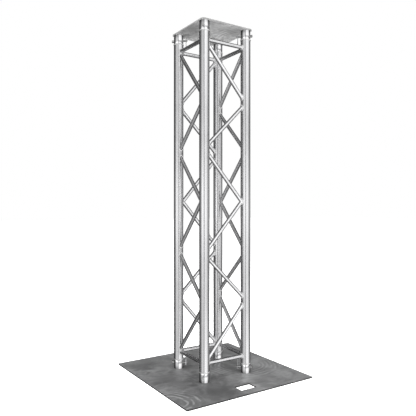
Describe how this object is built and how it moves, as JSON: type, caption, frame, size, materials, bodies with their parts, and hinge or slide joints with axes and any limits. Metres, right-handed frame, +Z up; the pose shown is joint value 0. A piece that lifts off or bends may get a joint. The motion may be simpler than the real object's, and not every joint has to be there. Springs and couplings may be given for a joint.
{
  "type": "lighting truss tower",
  "caption": "Free-standing square lighting truss tower: braced tubular chords pinned to a wide steel base plate with hand slots and a small top plate.",
  "frame": {"origin": "centre of the base plate's underside, on the floor", "axes": "+Z up the tower; X and Y along the edges of the square plates; the base plate's hand slots lie by its -Y and +Y edges"},
  "size_m": [0.74, 0.74, 1.7826],
  "materials": {
    "extruded_aluminium": "satin extruded tube with faint lengthways drawing lines and bright weld beads",
    "machined_aluminium": "turned, semi-polished",
    "plate_steel": "mottled dark mill steel, satin, with rubbed swirls and bright cut edges",
    "zinc_plated_steel": "bright zinc plating",
    "spring_wire": "bright drawn spring wire"
  },
  "bodies": {
    "truss": {"base_plate": "plate_steel", "top_plate": "plate_steel", "left_front_chord": "extruded_aluminium", "right_front_chord": "extruded_aluminium", "right_back_chord": "extruded_aluminium", "left_back_chord": "extruded_aluminium", "front_upper_rail": "extruded_aluminium", "front_upper_outer_diagonal": "extruded_aluminium", "front_upper_inner_diagonal": "extruded_aluminium", "front_middle_chevron": "extruded_aluminium", "front_lower_inner_diagonal": "extruded_aluminium", "front_lower_outer_diagonal": "extruded_aluminium", "front_lower_rail": "extruded_aluminium", "right_upper_rail": "extruded_aluminium", "right_upper_outer_diagonal": "extruded_aluminium", "right_upper_inner_diagonal": "extruded_aluminium", "right_middle_chevron": "extruded_aluminium", "right_lower_inner_diagonal": "extruded_aluminium", "right_lower_outer_diagonal": "extruded_aluminium", "right_lower_rail": "extruded_aluminium", "back_upper_rail": "extruded_aluminium", "back_upper_outer_diagonal": "extruded_aluminium", "back_upper_inner_diagonal": "extruded_aluminium", "back_middle_chevron": "extruded_aluminium", "back_lower_inner_diagonal": "extruded_aluminium", "back_lower_outer_diagonal": "extruded_aluminium", "back_lower_rail": "extruded_aluminium", "left_upper_rail": "extruded_aluminium", "left_upper_outer_diagonal": "extruded_aluminium", "left_upper_inner_diagonal": "extruded_aluminium", "left_middle_chevron": "extruded_aluminium", "left_lower_inner_diagonal": "extruded_aluminium", "left_lower_outer_diagonal": "extruded_aluminium", "left_lower_rail": "extruded_aluminium", "left_front_lower_coupler": "machined_aluminium", "left_front_upper_coupler": "machined_aluminium", "right_front_lower_coupler": "machined_aluminium", "right_front_upper_coupler": "machined_aluminium", "right_back_lower_coupler": "machined_aluminium", "right_back_upper_coupler": "machined_aluminium", "left_back_lower_coupler": "machined_aluminium", "left_back_upper_coupler": "machined_aluminium"},
    "left_front_lower_pin": {"left_front_lower_pin": "zinc_plated_steel"},
    "left_front_lower_clip": {"left_front_lower_clip": "spring_wire"},
    "left_front_upper_pin": {"left_front_upper_pin": "zinc_plated_steel"},
    "left_front_upper_clip": {"left_front_upper_clip": "spring_wire"},
    "right_front_lower_pin": {"right_front_lower_pin": "zinc_plated_steel"},
    "right_front_lower_clip": {"right_front_lower_clip": "spring_wire"},
    "right_front_upper_pin": {"right_front_upper_pin": "zinc_plated_steel"},
    "right_front_upper_clip": {"right_front_upper_clip": "spring_wire"},
    "right_back_lower_pin": {"right_back_lower_pin": "zinc_plated_steel"},
    "right_back_lower_clip": {"right_back_lower_clip": "spring_wire"},
    "right_back_upper_pin": {"right_back_upper_pin": "zinc_plated_steel"},
    "right_back_upper_clip": {"right_back_upper_clip": "spring_wire"},
    "left_back_lower_pin": {"left_back_lower_pin": "zinc_plated_steel"},
    "left_back_lower_clip": {"left_back_lower_clip": "spring_wire"},
    "left_back_upper_pin": {"left_back_upper_pin": "zinc_plated_steel"},
    "left_back_upper_clip": {"left_back_upper_clip": "spring_wire"}
  },
  "joints": [
    {"name": "left_front_lower_pin_play", "type": "slide", "parent": "truss", "child": "left_front_lower_pin", "axis": [-0.7071, -0.7071, 0], "range_m": [0, 0.011]},
    {"name": "left_front_lower_clip_pull", "type": "slide", "parent": "left_front_lower_pin", "child": "left_front_lower_clip", "axis": [0, 0, 1], "range_m": [0, 0.03]},
    {"name": "left_front_upper_pin_play", "type": "slide", "parent": "truss", "child": "left_front_upper_pin", "axis": [-0.7071, -0.7071, 0], "range_m": [0, 0.011]},
    {"name": "left_front_upper_clip_pull", "type": "slide", "parent": "left_front_upper_pin", "child": "left_front_upper_clip", "axis": [0, 0, -1], "range_m": [0, 0.03]},
    {"name": "right_front_lower_pin_play", "type": "slide", "parent": "truss", "child": "right_front_lower_pin", "axis": [0.7071, -0.7071, 0], "range_m": [0, 0.011]},
    {"name": "right_front_lower_clip_pull", "type": "slide", "parent": "right_front_lower_pin", "child": "right_front_lower_clip", "axis": [0, 0, 1], "range_m": [0, 0.03]},
    {"name": "right_front_upper_pin_play", "type": "slide", "parent": "truss", "child": "right_front_upper_pin", "axis": [0.7071, -0.7071, 0], "range_m": [0, 0.011]},
    {"name": "right_front_upper_clip_pull", "type": "slide", "parent": "right_front_upper_pin", "child": "right_front_upper_clip", "axis": [0, 0, -1], "range_m": [0, 0.03]},
    {"name": "right_back_lower_pin_play", "type": "slide", "parent": "truss", "child": "right_back_lower_pin", "axis": [0.7071, 0.7071, 0], "range_m": [0, 0.011]},
    {"name": "right_back_lower_clip_pull", "type": "slide", "parent": "right_back_lower_pin", "child": "right_back_lower_clip", "axis": [0, 0, 1], "range_m": [0, 0.03]},
    {"name": "right_back_upper_pin_play", "type": "slide", "parent": "truss", "child": "right_back_upper_pin", "axis": [0.7071, 0.7071, 0], "range_m": [0, 0.011]},
    {"name": "right_back_upper_clip_pull", "type": "slide", "parent": "right_back_upper_pin", "child": "right_back_upper_clip", "axis": [0, 0, -1], "range_m": [0, 0.03]},
    {"name": "left_back_lower_pin_play", "type": "slide", "parent": "truss", "child": "left_back_lower_pin", "axis": [-0.7071, 0.7071, 0], "range_m": [0, 0.011]},
    {"name": "left_back_lower_clip_pull", "type": "slide", "parent": "left_back_lower_pin", "child": "left_back_lower_clip", "axis": [0, 0, 1], "range_m": [0, 0.03]},
    {"name": "left_back_upper_pin_play", "type": "slide", "parent": "truss", "child": "left_back_upper_pin", "axis": [-0.7071, 0.7071, 0], "range_m": [0, 0.011]},
    {"name": "left_back_upper_clip_pull", "type": "slide", "parent": "left_back_upper_pin", "child": "left_back_upper_clip", "axis": [0, 0, -1], "range_m": [0, 0.03]}
  ]
}
